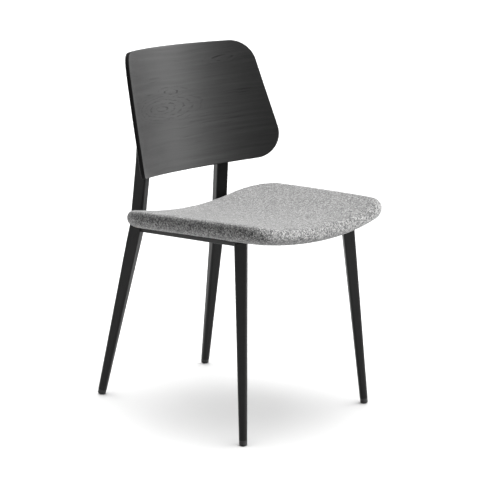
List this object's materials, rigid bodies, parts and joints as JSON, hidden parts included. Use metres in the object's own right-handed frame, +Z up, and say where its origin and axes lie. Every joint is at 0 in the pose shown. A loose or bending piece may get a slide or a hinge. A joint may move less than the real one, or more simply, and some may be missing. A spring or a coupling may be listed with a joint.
{
  "type": "dining chair",
  "caption": "Armless dining chair: upholstered dished seat, curved plywood back panel on steel uprights, splayed tapered tube legs.",
  "frame": {"origin": "on the floor, under the centre of the chair's overall box", "axes": "+Z up, the sitter faces -Y, +X is the sitter's left"},
  "size_m": [0.4676, 0.5654, 0.8037],
  "materials": {
    "steel_frame": "black satin powder coat",
    "glide": "black matt plastic",
    "cap": "black matt plastic",
    "seat_plywood": "raw moulded plywood",
    "foam": "open-cell foam",
    "cover_fabric": "grey melange woven wool",
    "lining": "black non-woven underlining",
    "staples": "bright wire",
    "zinc_hardware": "zinc plated",
    "black_screws": "black oxide",
    "buffer": "black rubber",
    "stained_plywood": "black stained veneer, satin lacquer",
    "spacer": "black rubber"
  },
  "bodies": {
    "root": {"front_leg_left": "steel_frame", "front_leg_right": "steel_frame", "rear_leg_left": "steel_frame", "rear_leg_right": "steel_frame", "side_rail_left": "steel_frame", "side_rail_right": "steel_frame", "rear_rail": "steel_frame", "front_crossbar": "steel_frame", "rear_crossbar": "steel_frame", "front_glide_left": "glide", "front_glide_right": "glide", "rear_glide_left": "glide", "rear_glide_right": "glide", "upright_cap_left": "cap", "upright_cap_right": "cap", "seat_shell": "seat_plywood", "seat_foam": "foam", "seat_cover": "cover_fabric", "seat_lining": "lining", "cover_staples": "staples", "seat_t_nuts": "zinc_hardware", "seat_screws": "black_screws", "seat_buffers": "buffer", "back_panel": "stained_plywood", "back_spacers": "spacer", "back_screws": "black_screws", "back_inserts": "zinc_hardware"}
  },
  "joints": []
}
